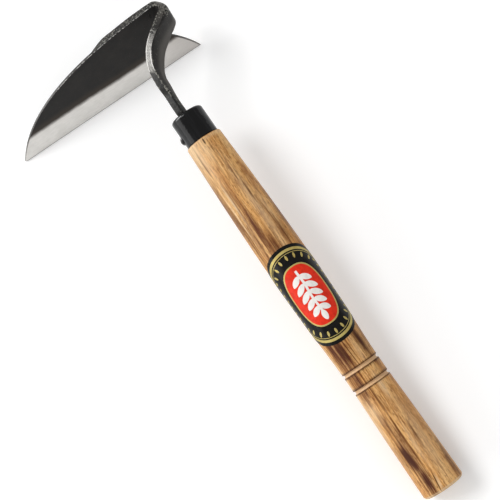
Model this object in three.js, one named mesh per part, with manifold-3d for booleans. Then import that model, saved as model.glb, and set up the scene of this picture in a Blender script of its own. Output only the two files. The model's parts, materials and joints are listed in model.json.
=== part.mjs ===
// Twisted weeding sickle: a forged head with a laminated edge, on a turned wooden handle.
// Units are millimetres. The sickle lies as it does on a bench, on its cutting edge and on the
// lower rim of the butt, with +Z up, +X along the handle towards the butt and the blade's tip at -Y.
// Until it is laid down, the handle's axis is the X axis and the ferrule's front is at X = 0.

import * as THREE from 'three';
import { mergeVertices } from 'three/addons/utils/BufferGeometryUtils.js';
import Module from 'manifold-3d';

// Blade plate, seen on its ground front face
const EDGE_LENGTH = 138;
const HEEL_REACH = 37.6; // along the cutting edge, from the foot of the neck to the heel
const BLADE_HEIGHT = 51.8; // cutting edge to spine, at the fold
const PLATE_THICKNESS = 1.8;
const EDGE_THICKNESS = 0.25; // of the cutting edge itself
const BEVEL_WIDTH = 17.8;
const TIP_RADIUS = 1.6;
const TIP_LEAN = 27.2; // reach of the spine's steep stretch along the blade
const TIP_RISE = 48.6; // and up it
const SPINE_REACH = 28.4; // reach of the spine's gentle stretch, before the fold
const SPINE_FALL = 2.5; // how far it falls in that reach
const THROAT_DROP = 5; // from the strap's lower edge to the start of the heel's edge
const THROAT_BACK = 5.3; // from the fold back to the start of the heel's edge
const THROAT_ROUND = 2;
const HEEL_LEAN = 5.3; // reach of the heel edge's steep stretch, back from its corner
const HEEL_RISE = 14.2; // and up from it

// Hard steel, welded to the back of the blade
const STEEL_THICKNESS = 0.45;
const STEEL_WIDTH = 13;
const WELD_GAP = 0.1;

// How the blade stands to the handle
const BLADE_ANGLE = 55; // degrees between the blade and the handle
const EDGE_SKEW = 0.72; // degrees that the edge is off square to the handle
const EDGE_AHEAD = 40.38; // from the ferrule's front to the foot of the blade
const EDGE_ASIDE = 2.4; // from the handle's axis to the foot of the neck
const EDGE_BELOW = 49.7; // from the handle's axis down to the foot of the blade

// Neck: a bar along the blade's back, a fold, a curved strap and a rod
const BAR_TAIL = 47.5; // from the fold back to where the bar has run out
const BAR_RUNOUT = 8.5; // in which the bar gains its thickness
const BAR_THICKNESS = 5.8;
const BAR_TAIL_WIDTH = 9;
const ROOT_WIDTH = 17; // of the strap where it leaves the blade
const FOLD_AT = 23.6; // along the cutting edge, from the foot of the neck
const FOLD_RADIUS = 3; // inside
const FOLD_TURN = 131; // degrees
const FOLD_DROP = 1.5; // how far the outer arris drops round the fold
const STRAP_THICKNESS = 4.9;
const UPPER_LEAD = 20; // how far the strap's upper rail keeps the fold's direction
const UPPER_DRAW = 27.5; // and how far it is drawn in line with the rod
const LOWER_LEAD = 8.5; // the same two for its lower rail
const LOWER_DRAW = 14.8;
const STRAP_ARRIS = 0.5; // chamfer on the strap's corners
const ROD_LENGTH = 22.6; // in front of the ferrule
const ROD_WIDTH = 5.2;
const ROD_THICKNESS = 5;
const ROD_ARRIS = 1.1; // chamfer on the rod's corners
const ROD_TURN = 31; // degrees that the rod's faces are turned about its length
const ROD_ASIDE = 1.2; // from the handle's axis to the rod's
const TANG_LENGTH = 84; // behind the ferrule's front
const TANG_POINT = 7;
const TANG_TIP_WIDTH = 2.4;
const POINT_WIDTH = 0.8;

// Ferrule: a drawn cup
const FERRULE_RADIUS = 11;
const FERRULE_LENGTH = 19.3;
const FERRULE_WALL = 0.8;
const FERRULE_SHOULDER = 2.1; // outer radius of its rounded shoulder
const ROD_CLEARANCE = 0.3;

// Nail through ferrule, tenon and tang
const PIN_AT = 13.5; // behind the ferrule's front
const PIN_RADIUS = 1.3;
const PIN_HEAD_RADIUS = 2.85;
const PIN_HEAD_HEIGHT = 1.4;
const PIN_LENGTH = 17; // below the head
const PIN_POINT = 4;
const PIN_CLEARANCE = 0.3;
const PIN_SEAT = 0.1; // between head and ferrule

// Handle: turned wood
const HANDLE_LENGTH = 258.8; // from the ferrule's rim to the butt
const SEAT_GAP = 0.3; // between wood and ferrule
const TANG_CLEARANCE = 0.3;
const TENON_CHAMFER = 1.6;
const JOINT_RADIUS = 12.05;
const JOINT_ROUND = 0.8;
const FORE_RADIUS = 13.5; // halfway from the joint to the swell
const SWELL_RADIUS = 14.2;
const SWELL_AT = 96; // behind the ferrule's rim
const HIND_RADIUS = 13.65; // halfway from the swell to the waist
const WAIST_RADIUS = 12.5;
const WAIST_TO_BUTT = 88.6;
const GRIP_RADIUS = 13.3; // halfway from the waist to the butt
const BUTT_RADIUS = 13.95;
const BUTT_ROUND = 2.4;
const GROOVES_TO_BUTT = [88.9, 77.2];
const GROOVE_WIDTH = 2.3;
const GROOVE_DEPTH = 1.1;

// Oval label, wrapped round the handle
const LABEL_LENGTH = 67.4;
const LABEL_GIRTH = 58.4; // across it, along the wood's surface
const LABEL_AT = 117.15; // its centre, behind the ferrule's rim
const LABEL_THICKNESS = 0.25;
const LABEL_GAP = 0.15;

const ROUND_STEPS = 64;
const BODY_STEPS = 26;
const LABEL_RINGS = 12;
const LABEL_SPOKES = 72;

const degrees = THREE.MathUtils.degToRad;
const { lerp, smoothstep } = THREE.MathUtils;
const wasm = await Module();
wasm.setup();

// Makes a closed geometry into a solid that can be joined and cut
function solid(geometry) {
  const bare = geometry.clone();
  bare.deleteAttribute('normal');
  bare.deleteAttribute('uv');
  const merged = mergeVertices(bare, 1e-4);
  const corners = merged.index.array;
  const triangles = [];
  for (let i = 0; i < corners.length; i += 3) {
    const [a, b, c] = corners.slice(i, i + 3);
    if (a !== b && b !== c && c !== a) triangles.push(a, b, c);
  }
  return new wasm.Manifold(new wasm.Mesh({
    numProp: 3,
    vertProperties: new Float32Array(merged.attributes.position.array),
    triVerts: new Uint32Array(triangles),
  }));
}

// Makes a solid back into a geometry
function surface(body) {
  const mesh = body.getMesh();
  const geometry = new THREE.BufferGeometry();
  geometry.setAttribute('position', new THREE.BufferAttribute(mesh.vertProperties, 3));
  geometry.setIndex(new THREE.BufferAttribute(mesh.triVerts, 1));
  geometry.computeVertexNormals();
  return geometry;
}

function piece(name, geometry, color, roughness, metalness) {
  const material = new THREE.MeshStandardMaterial({ color, roughness, metalness });
  const mesh = new THREE.Mesh(geometry, material);
  mesh.name = name;
  return mesh;
}

// Finds how high a curve runs above a place along it
function heightOn(curve, along) {
  let [low, high] = [0, 1];
  for (let i = 0; i < 30; i += 1) {
    const middle = (low + high) / 2;
    if (curve.getPoint(middle).x < along) low = middle;
    else high = middle;
  }
  return curve.getPoint(low).y;
}

// A closed skin over rings of points that follow one another, capped at both ends
function loft(rings) {
  const count = rings[0].length;
  const index = [];
  for (let start = 0; start + count < rings.length * count; start += count) {
    for (let i = 0; i < count; i += 1) {
      const a = start + i;
      const b = start + ((i + 1) % count);
      index.push(a, b, b + count, a, b + count, a + count);
    }
  }
  const last = (rings.length - 1) * count;
  for (let i = 1; i + 1 < count; i += 1) {
    index.push(0, i + 1, i, last, last + i, last + i + 1);
  }
  return new THREE.BufferGeometry().setFromPoints(rings.flat()).setIndex(index);
}

// A ring of eight points: the four corners of a section, each cut off
function chamfered(corners, size) {
  return corners.flatMap((corner, i) => {
    const before = corners[(i + 3) % 4].clone().sub(corner);
    const after = corners[(i + 1) % 4].clone().sub(corner);
    return [before.setLength(size).add(corner), after.setLength(size).add(corner)];
  });
}

// A solid of revolution about the X axis, from [place along the axis, radius] points
function turned(profile, steps) {
  const points = profile.map(([along, radius]) => new THREE.Vector2(radius, along));
  return new THREE.LatheGeometry(points, steps).rotateZ(-Math.PI / 2);
}

// Points of an arc in such a profile
function arc(along, radius, size, from, to, steps) {
  return Array.from({ length: steps + 1 }, (_, i) => {
    const angle = degrees(lerp(from, to, i / steps));
    return [along + size * Math.cos(angle), radius + size * Math.sin(angle)];
  });
}

// A drill along X or Y, for a round hole
function drill(radius, length, middle, alongY = false) {
  const cylinder = new THREE.CylinderGeometry(radius, radius, length, 32);
  if (!alongY) cylinder.rotateZ(-Math.PI / 2);
  return solid(cylinder.translate(...middle));
}

// Blade frame: x runs along the edge to the heel, y up the blade and z out of its front face
const acrossBlade = new THREE.Vector3(Math.sin(degrees(EDGE_SKEW)), Math.cos(degrees(EDGE_SKEW)), 0);
const upBlade = new THREE.Vector3(-Math.cos(degrees(BLADE_ANGLE)), 0, Math.sin(degrees(BLADE_ANGLE)));
upBlade.applyAxisAngle(new THREE.Vector3(0, 0, 1), -degrees(EDGE_SKEW));
const outOfBlade = acrossBlade.clone().cross(upBlade);
const bladeFrame = new THREE.Matrix4().makeBasis(acrossBlade, upBlade, outOfBlade);
bladeFrame.setPosition(-EDGE_AHEAD, -EDGE_ASIDE, -EDGE_BELOW);
const onBlade = (along, up, out) => new THREE.Vector3(along, up, out).applyMatrix4(bladeFrame);

const tipAt = HEEL_REACH - EDGE_LENGTH;
const rootLow = BLADE_HEIGHT - ROOT_WIDTH;
const spine = new THREE.CubicBezierCurve(
  new THREE.Vector2(tipAt, TIP_RADIUS),
  new THREE.Vector2(tipAt + TIP_LEAN, TIP_RISE),
  new THREE.Vector2(FOLD_AT - SPINE_REACH, BLADE_HEIGHT - SPINE_FALL),
  new THREE.Vector2(FOLD_AT, BLADE_HEIGHT),
);

function bladeOutline() {
  const throat = new THREE.Vector2(FOLD_AT - THROAT_BACK, rootLow - THROAT_DROP);
  const outline = new THREE.Shape();
  outline.moveTo(tipAt + TIP_RADIUS, 0);
  outline.quadraticCurveTo(tipAt, 0, spine.v0.x, spine.v0.y);
  outline.bezierCurveTo(spine.v1.x, spine.v1.y, spine.v2.x, spine.v2.y, spine.v3.x, spine.v3.y);
  outline.lineTo(FOLD_AT, rootLow);
  outline.lineTo(throat.x + THROAT_ROUND, rootLow);
  outline.quadraticCurveTo(throat.x - THROAT_ROUND, rootLow, throat.x, throat.y);
  outline.quadraticCurveTo(HEEL_REACH - HEEL_LEAN, HEEL_RISE, HEEL_REACH, 0);
  return outline;
}

// A slab of the blade's outline between two depths below its front face
function bladeSlab(front, back) {
  const settings = { depth: back - front, bevelEnabled: false, curveSegments: 28 };
  return solid(new THREE.ExtrudeGeometry(bladeOutline(), settings).translate(0, 0, -back));
}

// What the grinder takes off the front face, down to the cutting edge
function bevelCut() {
  const fall = (PLATE_THICKNESS - EDGE_THICKNESS) / BEVEL_WIDTH;
  const over = 5;
  const wedge = new THREE.Shape();
  wedge.moveTo(BEVEL_WIDTH + over / fall, over);
  wedge.lineTo(-over, over);
  wedge.lineTo(-over, -(BEVEL_WIDTH + over) * fall);
  const length = EDGE_LENGTH + BLADE_HEIGHT;
  const cut = new THREE.ExtrudeGeometry(wedge, { depth: length, bevelEnabled: false });
  cut.applyMatrix4(new THREE.Matrix4().makeBasis(
    new THREE.Vector3(0, 1, 0),
    new THREE.Vector3(0, 0, 1),
    new THREE.Vector3(1, 0, 0),
  ));
  return solid(cut.translate(tipAt - BLADE_HEIGHT / 2, 0, 0));
}

// A block over the strip of the blade that runs along its cutting edge
function edgeStrip(width) {
  const block = new THREE.BoxGeometry(EDGE_LENGTH * 2, width * 2, PLATE_THICKNESS * 4);
  return solid(block.translate(tipAt + EDGE_LENGTH / 2, 0, 0));
}

function edgeSteel() {
  const layer = bladeSlab(PLATE_THICKNESS - STEEL_THICKNESS, PLATE_THICKNESS);
  const strip = layer.intersect(edgeStrip(STEEL_WIDTH)).subtract(bevelCut());
  return surface(strip).applyMatrix4(bladeFrame);
}

function bladePlate() {
  const rebateFloor = PLATE_THICKNESS - STEEL_THICKNESS - WELD_GAP;
  const rebate = edgeStrip(STEEL_WIDTH + WELD_GAP).subtract(bladeSlab(-PLATE_THICKNESS * 3, rebateFloor));
  const plate = bladeSlab(0, PLATE_THICKNESS).subtract(bevelCut()).subtract(rebate);
  return surface(plate).applyMatrix4(bladeFrame);
}

// A section of the neck: its inner face runs between two points, its outer face lies a thickness away
function neckSection(upper, lower, outward, thickness, drop, arris) {
  const up = upper.clone().sub(lower).normalize();
  const outerUpper = upper.clone().addScaledVector(outward, thickness).addScaledVector(up, -drop);
  const outerLower = lower.clone().addScaledVector(outward, thickness);
  return chamfered([upper, lower, outerLower, outerUpper], arris);
}

function barSections() {
  const steps = 16;
  const inward = outOfBlade.clone().negate();
  return Array.from({ length: steps }, (_, i) => {
    const share = i / steps;
    const along = FOLD_AT - BAR_TAIL * (1 - share);
    const gain = Math.sin((Math.PI / 2) * Math.min(1, (share * BAR_TAIL) / BAR_RUNOUT));
    const full = lerp(BAR_THICKNESS, STRAP_THICKNESS, share * share);
    const thickness = lerp(PLATE_THICKNESS / 2, full, gain);
    const width = lerp(BAR_TAIL_WIDTH, ROOT_WIDTH, share);
    const top = heightOn(spine, along);
    const sunk = i === 0 ? -PLATE_THICKNESS / 4 : 0;
    const upper = onBlade(along, top + sunk, sunk);
    return neckSection(upper, onBlade(along, top - width, sunk), inward, thickness, 0, STRAP_ARRIS * gain + 0.1);
  });
}

function foldSections() {
  const steps = 10;
  return Array.from({ length: steps + 1 }, (_, i) => {
    const turn = (degrees(FOLD_TURN) * i) / steps;
    const along = FOLD_AT + FOLD_RADIUS * Math.sin(turn);
    const out = FOLD_RADIUS * (1 - Math.cos(turn));
    const outward = acrossBlade.clone().multiplyScalar(Math.sin(turn));
    outward.addScaledVector(outOfBlade, -Math.cos(turn));
    const drop = FOLD_DROP * smoothstep(i / steps, 0, 0.5);
    const upper = onBlade(along, BLADE_HEIGHT, out);
    return neckSection(upper, onBlade(along, rootLow, out), outward, STRAP_THICKNESS, drop, STRAP_ARRIS);
  });
}

// The rod's own directions: across its width and out of its outer face
const rodUp = new THREE.Vector3(0, -Math.sin(degrees(ROD_TURN)), Math.cos(degrees(ROD_TURN)));
const rodOut = new THREE.Vector3(0, Math.cos(degrees(ROD_TURN)), Math.sin(degrees(ROD_TURN)));

// Upper and lower inner corner of the rod or tang at a place along the handle's axis
function rodCorners(along, width, thickness) {
  const middle = new THREE.Vector3(along, -ROD_ASIDE, 0).addScaledVector(rodOut, -thickness / 2);
  return [width / 2, -width / 2].map((reach) => middle.clone().addScaledVector(rodUp, reach));
}

function strapSections() {
  const steps = 22;
  const turn = degrees(FOLD_TURN);
  const run = acrossBlade.clone().multiplyScalar(Math.cos(turn)).addScaledVector(outOfBlade, Math.sin(turn));
  const back = new THREE.Vector3(-1, 0, 0);
  const along = FOLD_AT + FOLD_RADIUS * Math.sin(turn);
  const out = FOLD_RADIUS * (1 - Math.cos(turn));
  const [rodUpper, rodLower] = rodCorners(-ROD_LENGTH, ROD_WIDTH, ROD_THICKNESS);
  const rail = (start, lead, end, draw) => new THREE.CubicBezierCurve3(
    start,
    start.clone().addScaledVector(run, lead),
    end.clone().addScaledVector(back, draw),
    end,
  );
  const upperRail = rail(onBlade(along, BLADE_HEIGHT, out), UPPER_LEAD, rodUpper, UPPER_DRAW);
  const lowerRail = rail(onBlade(along, rootLow, out), LOWER_LEAD, rodLower, LOWER_DRAW);
  return Array.from({ length: steps }, (_, i) => {
    const share = (i + 1) / steps;
    const upper = upperRail.getPoint(share);
    const lower = lowerRail.getPoint(share);
    const ahead = upperRail.getTangent(share).add(lowerRail.getTangent(share));
    const outward = upper.clone().sub(lower).cross(ahead).normalize();
    const thickness = lerp(STRAP_THICKNESS, ROD_THICKNESS, share);
    const drop = FOLD_DROP * (1 - smoothstep(share, 0, 0.5));
    return neckSection(upper, lower, outward, thickness, drop, STRAP_ARRIS);
  });
}

// Sections of the rod and the tang, or of the slot that holds the tang
function rodSections(spans, spare) {
  return spans.map(([along, width, thickness, arris]) => {
    const [upper, lower] = rodCorners(along, width + spare * 2, thickness + spare * 2);
    return neckSection(upper, lower, rodOut, thickness + spare * 2, 0, arris);
  });
}

const tangSpans = [
  [0, ROD_WIDTH, ROD_THICKNESS, ROD_ARRIS],
  [FERRULE_LENGTH, ROD_WIDTH, ROD_THICKNESS, ROD_ARRIS / 2],
  [TANG_LENGTH - TANG_POINT, TANG_TIP_WIDTH, TANG_TIP_WIDTH, ROD_ARRIS / 4],
  [TANG_LENGTH, POINT_WIDTH, POINT_WIDTH, ROD_ARRIS / 8],
];

function bladeForging() {
  const rod = [[-ROD_LENGTH / 2, ROD_WIDTH, ROD_THICKNESS, ROD_ARRIS], ...tangSpans];
  const neck = loft([...barSections(), ...foldSections(), ...strapSections(), ...rodSections(rod, 0)]);
  const eye = drill(PIN_RADIUS + PIN_CLEARANCE, ROD_WIDTH * 4, [PIN_AT, -ROD_ASIDE, 0], true);
  return surface(solid(bladePlate()).add(solid(neck)).subtract(eye));
}

function ferrule() {
  const inside = FERRULE_RADIUS - FERRULE_WALL;
  const shoulder = FERRULE_RADIUS - FERRULE_SHOULDER;
  const innerRound = FERRULE_SHOULDER - FERRULE_WALL;
  const cup = turned([
    [0, 0],
    ...arc(FERRULE_SHOULDER, shoulder, FERRULE_SHOULDER, 180, 90, 6),
    [FERRULE_LENGTH, FERRULE_RADIUS],
    [FERRULE_LENGTH, inside],
    ...arc(FERRULE_SHOULDER, shoulder, innerRound, 90, 180, 4),
    [FERRULE_WALL, 0],
  ], ROUND_STEPS);
  const reach = Math.hypot(Math.max(ROD_WIDTH, ROD_THICKNESS), Math.min(ROD_WIDTH, ROD_THICKNESS) - ROD_ARRIS * 2) / 2;
  const rodHole = drill(reach + ROD_CLEARANCE, FERRULE_LENGTH, [0, -ROD_ASIDE, 0]);
  const pinHole = drill(PIN_RADIUS + PIN_CLEARANCE, FERRULE_RADIUS, [PIN_AT, -FERRULE_RADIUS, 0], true);
  return surface(solid(cup).subtract(rodHole).subtract(pinHole));
}

function ferrulePin() {
  const crown = (PIN_HEAD_RADIUS ** 2 + PIN_HEAD_HEIGHT ** 2) / (2 * PIN_HEAD_HEIGHT);
  const spread = THREE.MathUtils.radToDeg(Math.asin(PIN_HEAD_RADIUS / crown));
  const nail = turned([
    ...arc(crown - PIN_HEAD_HEIGHT, 0, crown, 180, 180 - spread, 6),
    [0, PIN_RADIUS],
    [PIN_LENGTH - PIN_POINT, PIN_RADIUS],
    [PIN_LENGTH, PIN_RADIUS / 4],
    [PIN_LENGTH, 0],
  ], 28);
  return nail.rotateZ(Math.PI / 2).translate(PIN_AT, -(FERRULE_RADIUS + PIN_SEAT), 0);
}

// The handle's side, from the ferrule's rim to the butt
const rim = FERRULE_LENGTH;
const butt = rim + HANDLE_LENGTH;
const waistAt = HANDLE_LENGTH - WAIST_TO_BUTT;
const side = new THREE.SplineCurve([
  [0, JOINT_RADIUS],
  [SWELL_AT / 2, FORE_RADIUS],
  [SWELL_AT, SWELL_RADIUS],
  [(SWELL_AT + waistAt) / 2, HIND_RADIUS],
  [waistAt, WAIST_RADIUS],
  [waistAt + WAIST_TO_BUTT / 2, GRIP_RADIUS],
  [HANDLE_LENGTH, BUTT_RADIUS],
].map(([along, radius]) => new THREE.Vector2(rim + along, radius)));
const sideRadius = (along) => heightOn(side, along);

function handleSide(from, to) {
  const grooves = GROOVES_TO_BUTT.map((distance) => butt - distance);
  const clearOfGrooves = (along) => grooves.every((at) => Math.abs(along - at) > GROOVE_WIDTH);
  const plain = Array.from({ length: BODY_STEPS + 1 }, (_, i) => lerp(from, to, i / BODY_STEPS))
    .filter(clearOfGrooves)
    .map((along) => [along, sideRadius(along)]);
  const cuts = grooves.flatMap((at) => [[-1, 0], [-0.7, 0.8], [0, 1], [0.7, 0.8], [1, 0]].map(
    ([across, deep]) => {
      const along = at + (across * GROOVE_WIDTH) / 2;
      return [along, sideRadius(along) - deep * GROOVE_DEPTH];
    },
  ));
  return [...plain, ...cuts].sort((a, b) => a[0] - b[0]);
}

function handle() {
  const tenonFront = FERRULE_WALL + SEAT_GAP;
  const tenonRadius = FERRULE_RADIUS - FERRULE_WALL - SEAT_GAP;
  const shoulder = rim + SEAT_GAP;
  const wood = turned([
    [tenonFront, 0],
    [tenonFront, tenonRadius - TENON_CHAMFER],
    [tenonFront + TENON_CHAMFER, tenonRadius],
    [shoulder, tenonRadius],
    ...arc(shoulder + JOINT_ROUND, sideRadius(shoulder) - JOINT_ROUND, JOINT_ROUND, 180, 105, 3),
    ...handleSide(shoulder + JOINT_ROUND, butt - BUTT_ROUND),
    ...arc(butt - BUTT_ROUND, BUTT_RADIUS - BUTT_ROUND, BUTT_ROUND, 75, 0, 5),
    [butt, 0],
  ], ROUND_STEPS);
  const mouth = [[-FERRULE_LENGTH, ROD_WIDTH, ROD_THICKNESS, ROD_ARRIS], ...tangSpans.slice(0, -1)];
  const slotEnd = [TANG_LENGTH + TANG_CLEARANCE, TANG_TIP_WIDTH, TANG_TIP_WIDTH, ROD_ARRIS / 4];
  const slot = solid(loft(rodSections([...mouth, slotEnd], TANG_CLEARANCE)));
  const pinReach = PIN_LENGTH + PIN_CLEARANCE;
  const pinMiddle = pinReach / 2 - FERRULE_RADIUS - PIN_SEAT;
  const pinHole = drill(PIN_RADIUS + PIN_CLEARANCE, pinReach, [PIN_AT, pinMiddle, 0], true);
  return surface(solid(wood).subtract(slot).subtract(pinHole));
}

// An oval sheet that follows the handle's side, thin and closed all round
function label() {
  const centre = rim + LABEL_AT;
  const place = (ring, spoke, height) => {
    const share = ring / LABEL_RINGS;
    const angle = (spoke / LABEL_SPOKES) * Math.PI * 2;
    const along = centre + share * (LABEL_LENGTH / 2) * Math.cos(angle);
    const wood = sideRadius(along);
    const round = (share * (LABEL_GIRTH / 2) * Math.sin(angle)) / wood;
    const radius = wood + LABEL_GAP + height;
    return new THREE.Vector3(along, radius * Math.sin(round), radius * Math.cos(round));
  };
  const loops = [];
  for (let ring = 1; ring <= LABEL_RINGS; ring += 1) loops.push([ring, 0]);
  for (let ring = LABEL_RINGS; ring >= 1; ring -= 1) loops.push([ring, LABEL_THICKNESS]);
  const points = loops.flatMap(([ring, height]) => (
    Array.from({ length: LABEL_SPOKES }, (_, spoke) => place(ring, spoke, height))
  ));
  const inner = points.push(place(0, 0, 0)) - 1;
  const outer = points.push(place(0, 0, LABEL_THICKNESS)) - 1;
  const lastLoop = (loops.length - 1) * LABEL_SPOKES;
  const index = [];
  for (let spoke = 0; spoke < LABEL_SPOKES; spoke += 1) {
    const next = (spoke + 1) % LABEL_SPOKES;
    index.push(inner, next, spoke, outer, lastLoop + spoke, lastLoop + next);
    for (let start = 0; start < lastLoop; start += LABEL_SPOKES) {
      const [a, b] = [start + spoke, start + next];
      index.push(a, b, b + LABEL_SPOKES, a, b + LABEL_SPOKES, a + LABEL_SPOKES);
    }
  }
  return new THREE.BufferGeometry().setFromPoints(points).setIndex(index);
}

const sickle = new THREE.Group();
sickle.add(
  piece('blade_forging', bladeForging(), 0x2c2b29, 0.55, 0.75),
  piece('edge_steel', edgeSteel(), 0xc5c3bf, 0.3, 0.95),
  piece('ferrule', ferrule(), 0x1a1a1a, 0.25, 0.6),
  piece('ferrule_pin', ferrulePin(), 0x1c1b1a, 0.4, 0.7),
  piece('handle', handle(), 0xc9965f, 0.55, 0),
  piece('label', label(), 0x1b1a18, 0.4, 0),
);

// Turns the sickle so that both ends of the edge and the butt's lower rim touch one level floor
function layDown(group) {
  const tip = onBlade(tipAt + TIP_RADIUS, 0, -PLATE_THICKNESS);
  const heel = onBlade(HEEL_REACH, 0, -PLATE_THICKNESS);
  const rimCentre = new THREE.Vector3(butt - BUTT_ROUND, 0, 0);
  const axis = new THREE.Vector3(1, 0, 0);
  const floor = new THREE.Vector3(0, 0, 1);
  for (let i = 0; i < 12; i += 1) {
    const down = floor.clone().addScaledVector(axis, -floor.dot(axis)).normalize();
    const rimLow = rimCentre.clone().addScaledVector(down, -BUTT_RADIUS);
    floor.crossVectors(rimLow.sub(tip), heel.clone().sub(tip)).normalize();
  }
  const forward = axis.addScaledVector(floor, -axis.dot(floor)).normalize();
  const sideways = floor.clone().cross(forward);
  const turn = new THREE.Matrix4().makeBasis(forward, sideways, floor).transpose();
  group.quaternion.setFromRotationMatrix(turn);
  group.updateMatrixWorld(true);
  const box = new THREE.Box3().setFromObject(group, true);
  const middle = box.getCenter(new THREE.Vector3());
  group.position.set(-middle.x, -middle.y, -box.min.z);
}

layDown(sickle);

export default sickle;
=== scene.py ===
# A weeding sickle with a folded neck, laid on its cutting edge and its butt
import json
import math

import bmesh
import bpy
from bmesh.types import BMEdge, BMVert
from bpy.props import FloatProperty, FloatVectorProperty, PointerProperty
from mathutils import Matrix, Vector, noise


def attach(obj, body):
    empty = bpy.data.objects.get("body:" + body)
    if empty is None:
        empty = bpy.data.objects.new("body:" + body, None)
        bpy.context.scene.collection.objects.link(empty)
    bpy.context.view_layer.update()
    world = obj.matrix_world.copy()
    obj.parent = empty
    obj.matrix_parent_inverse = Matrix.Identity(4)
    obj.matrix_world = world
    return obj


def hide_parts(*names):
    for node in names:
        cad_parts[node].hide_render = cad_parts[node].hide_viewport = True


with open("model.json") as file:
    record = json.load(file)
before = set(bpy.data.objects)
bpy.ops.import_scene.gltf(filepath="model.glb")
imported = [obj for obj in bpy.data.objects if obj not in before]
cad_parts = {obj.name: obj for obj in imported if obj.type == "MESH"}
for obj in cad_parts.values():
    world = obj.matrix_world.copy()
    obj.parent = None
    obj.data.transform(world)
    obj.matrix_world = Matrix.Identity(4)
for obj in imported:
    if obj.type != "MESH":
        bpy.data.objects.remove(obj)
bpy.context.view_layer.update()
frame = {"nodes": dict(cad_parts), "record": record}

bl_info = {
    "name": "Weeding Sickle",
    "version": (1, 0, 0),
    "blender": (4, 5, 0),
    "location": "View3D > Sidebar > Sickle",
    "description": "Makes a weeding sickle with a folded neck, piece by piece",
    "category": "Object",
}

MM = 0.001

# Sizes in millimetres. X runs from the ferrule's front to the butt, Z up to the viewer
HANDLE_LENGTH = 278.1
FERRULE_LENGTH = 19.3
FERRULE_RADIUS = 11.0
FERRULE_WALL = 0.8
FERRULE_SHOULDER = 2.1
LIP_RADIUS = 6.0
TENON_RADIUS = 9.9
BORE_RADIUS = 5.2
BORE_END = 85.0
BUTT_RADIUS = 13.95
BUTT_ROUND = 2.4
SIDE = ((19.3, 12.05), (67.3, 13.5), (115.3, 14.2), (152.4, 13.65), (189.5, 12.5), (233.8, 13.3), (278.1, 13.95))
GROOVES = (189.2, 200.9)
PIN_AT = 13.5
PIN_RADIUS = 1.3
PIN_LENGTH = 17
HEAD_RADIUS = 2.85
HEAD_HEIGHT = 1.4
ROD_ASIDE = 1.2
ROD_HOLE = 3.25
ROD_LENGTH = 22.6
ROD_WIDTH = 5.2
ROD_THICKNESS = 5.0
ROD_TURN = math.radians(31)
LABEL_AT = 136.45

# Sizes of the blade, whose own frame has X along the edge, Y up the blade and Z out of its face
BLADE_FOOT = (-40.38, -2.4, -49.7)
BLADE_ANGLE = math.radians(55)
EDGE_SKEW = math.radians(0.72)
TIP_AT = -100.4
TIP_RADIUS = 1.6
HEEL_AT = 37.6
TOP = 51.8
FOLD_AT = 23.6
ROOT_LOW = 34.8
PLATE = 1.8
STEEL_TOP = 1.349
STEEL_WIDTH = 13.01
BEVEL_WIDTH = 17.8
BEVEL_FALL = 1.55 / 17.8
FOLD_RADIUS = 3.0
FOLD_TURN = math.radians(131)
FOLD_DROP = 1.9
STRAP = 4.9
# How far each rail of the strap keeps the fold's direction, and how far it is drawn in line with the rod
UPPER_LEAD, UPPER_DRAW = 20, 27.5
LOWER_LEAD, LOWER_DRAW = 8.5, 14.8
# How much wider the strap grows on either side before the rod
UPPER_GAIN, LOWER_GAIN = 0.6, 1.6
# The heel leans back from its corner by so much for each millimetre up the blade, and curves by so much
HEEL_SLOPE = 0.386
HEEL_CURVE = 0.00878
# The spine leaves the tip's corner in the same way, measured from the corner's height
TIP_SLOPE = 0.572
TIP_CURVE = 0.0124
SPINE = ((TIP_AT, TIP_RADIUS), (TIP_AT + 27.2, 48.6), (FOLD_AT - 28.4, TOP - 2.5), (FOLD_AT, TOP))


def tint(code):
    """The colour of a web code, as the shaders want it"""
    parts = [int(code[i:i + 2], 16) / 255 for i in (0, 2, 4)]
    return tuple(p / 12.92 if p <= 0.04045 else ((p + 0.055) / 1.055) ** 2.4 for p in parts)


def smooth(share):
    share = min(1.0, max(0.0, share))
    return share * share * (3 - 2 * share)


def blend(a, b, share):
    return a + (b - a) * share


def handle_place():
    """Turns the handle's own frame, in millimetres, into the scene's"""
    mounts = {m["name"]: m for m in frame["record"]["mounts"]}
    along = Vector(mounts["butt_face"]["axis"]).normalized()
    out = -Vector(mounts["blade_back"]["axis"])
    edge = Vector((0, 0, 1)).cross(out).normalized()
    up = along.cross(edge).normalized()
    start = Vector(mounts["butt_face"]["pos_m"]) - along * HANDLE_LENGTH * MM
    turn = Matrix((along, up.cross(along), up)).transposed().to_4x4()
    return Matrix.Translation(start) @ turn @ Matrix.Scale(MM, 4)


def blade_place():
    """Turns the blade's own frame into the handle's"""
    across = Vector((math.sin(EDGE_SKEW), math.cos(EDGE_SKEW), 0))
    up = Matrix.Rotation(-EDGE_SKEW, 3, "Z") @ Vector((-math.cos(BLADE_ANGLE), 0, math.sin(BLADE_ANGLE)))
    turn = Matrix((across, up, across.cross(up))).transposed().to_4x4()
    return Matrix.Translation(BLADE_FOOT) @ turn


LAY = handle_place()
BLADE = blade_place()


def on_blade(along, up, out):
    return BLADE @ Vector((along, up, out))


def bezier(points, share):
    """The place at a share of a curve's run"""
    points = [Vector(p) for p in points]
    while len(points) > 1:
        points = [a.lerp(b, share) for a, b in zip(points, points[1:])]
    return points[0]


def heading(points, share):
    return (bezier(points, min(1, share + 1e-4)) - bezier(points, max(0, share - 1e-4))).normalized()


def spine_height(along):
    low, high = 0.0, 1.0
    for _ in range(30):
        middle = (low + high) / 2
        if bezier(SPINE, middle).x < along:
            low = middle
        else:
            high = middle
    return bezier(SPINE, low).y


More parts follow.
